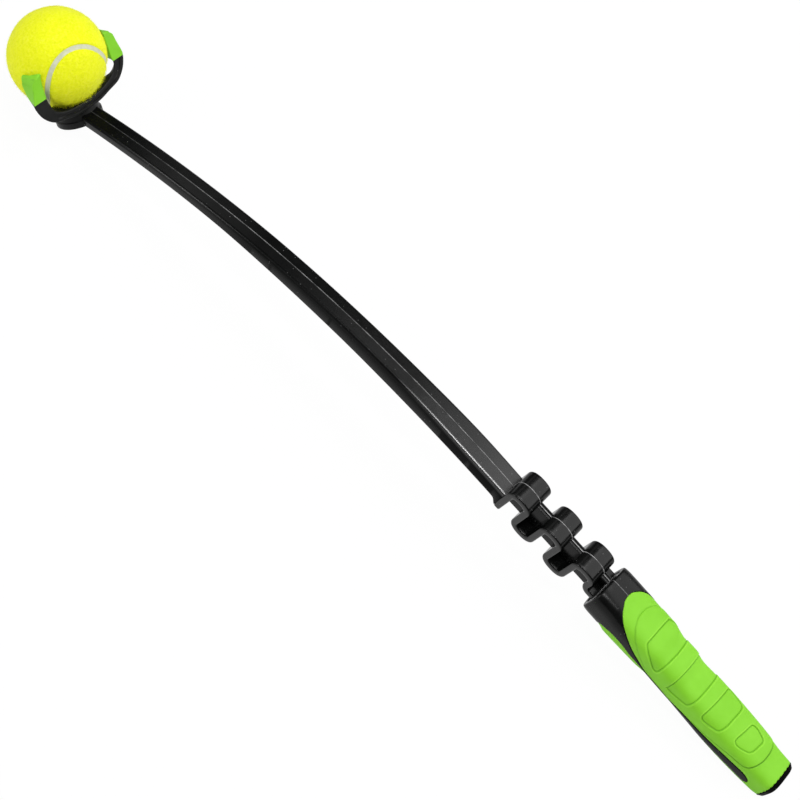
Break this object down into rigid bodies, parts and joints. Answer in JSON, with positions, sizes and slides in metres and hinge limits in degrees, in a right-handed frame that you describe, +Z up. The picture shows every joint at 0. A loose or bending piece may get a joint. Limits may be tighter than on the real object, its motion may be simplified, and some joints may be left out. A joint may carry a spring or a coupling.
{
  "type": "tennis ball launcher",
  "caption": "Long curved arm with a sprung neck, a soft ribbed grip, and an open claw that holds a tennis ball and lets it slide out.",
  "frame": {"origin": "on the floor, under the centre of the launcher's box", "axes": "+X from the claw to the handle, +Y across, +Z up; the launcher lies as on a table, on the rim of the claw's hub and the lower edge of the butt"},
  "size_m": [0.6714, 0.0778, 0.076],
  "materials": {
    "black_plastic": "moulded, faint satin sheen",
    "green_rubber": "soft matte overmould",
    "yellow_felt": "napped felt",
    "seam_rubber": "matte",
    "core_rubber": "matte"
  },
  "bodies": {
    "handle": {"handle_core": "black_plastic", "grip_sleeve": "green_rubber", "flex_neck": "black_plastic"},
    "arm": {"arm": "black_plastic", "claw_cradle": "black_plastic"},
    "prong_left": {"prong_left": "black_plastic", "tip_left": "green_rubber"},
    "prong_right": {"prong_right": "black_plastic", "tip_right": "green_rubber"},
    "ball": {"felt_panel_a": "yellow_felt", "felt_panel_b": "yellow_felt", "ball_seam": "seam_rubber", "ball_core_lower": "core_rubber", "ball_core_upper": "core_rubber"}
  },
  "joints": [
    {"name": "neck_flex", "type": "hinge", "parent": "handle", "child": "arm", "pos_m": [0.13503, 0, 0.0422], "axis": [0, 1, 0], "range_deg": [-15, 15], "stiffness_Nm_per_rad": 10, "deforming": ["flex_neck"]},
    {"name": "prong_left_spread", "type": "hinge", "parent": "arm", "child": "prong_left", "pos_m": [-0.28393, -0.0278, 0.02095], "axis": [0.7588, 0, 0.6513], "range_deg": [0, 6], "stiffness_Nm_per_rad": 3},
    {"name": "prong_right_spread", "type": "hinge", "parent": "arm", "child": "prong_right", "pos_m": [-0.28393, 0.0278, 0.02095], "axis": [-0.7588, 0, -0.6513], "range_deg": [0, 6], "stiffness_Nm_per_rad": 3},
    {"name": "ball_release", "type": "slide", "parent": "arm", "child": "ball", "axis": [-0.6513, 0, 0.7588], "range_m": [0, 0.075]}
  ],
  "couplings": [
    {"joint": "prong_right_spread", "follows": "prong_left_spread", "ratio": 1}
  ]
}
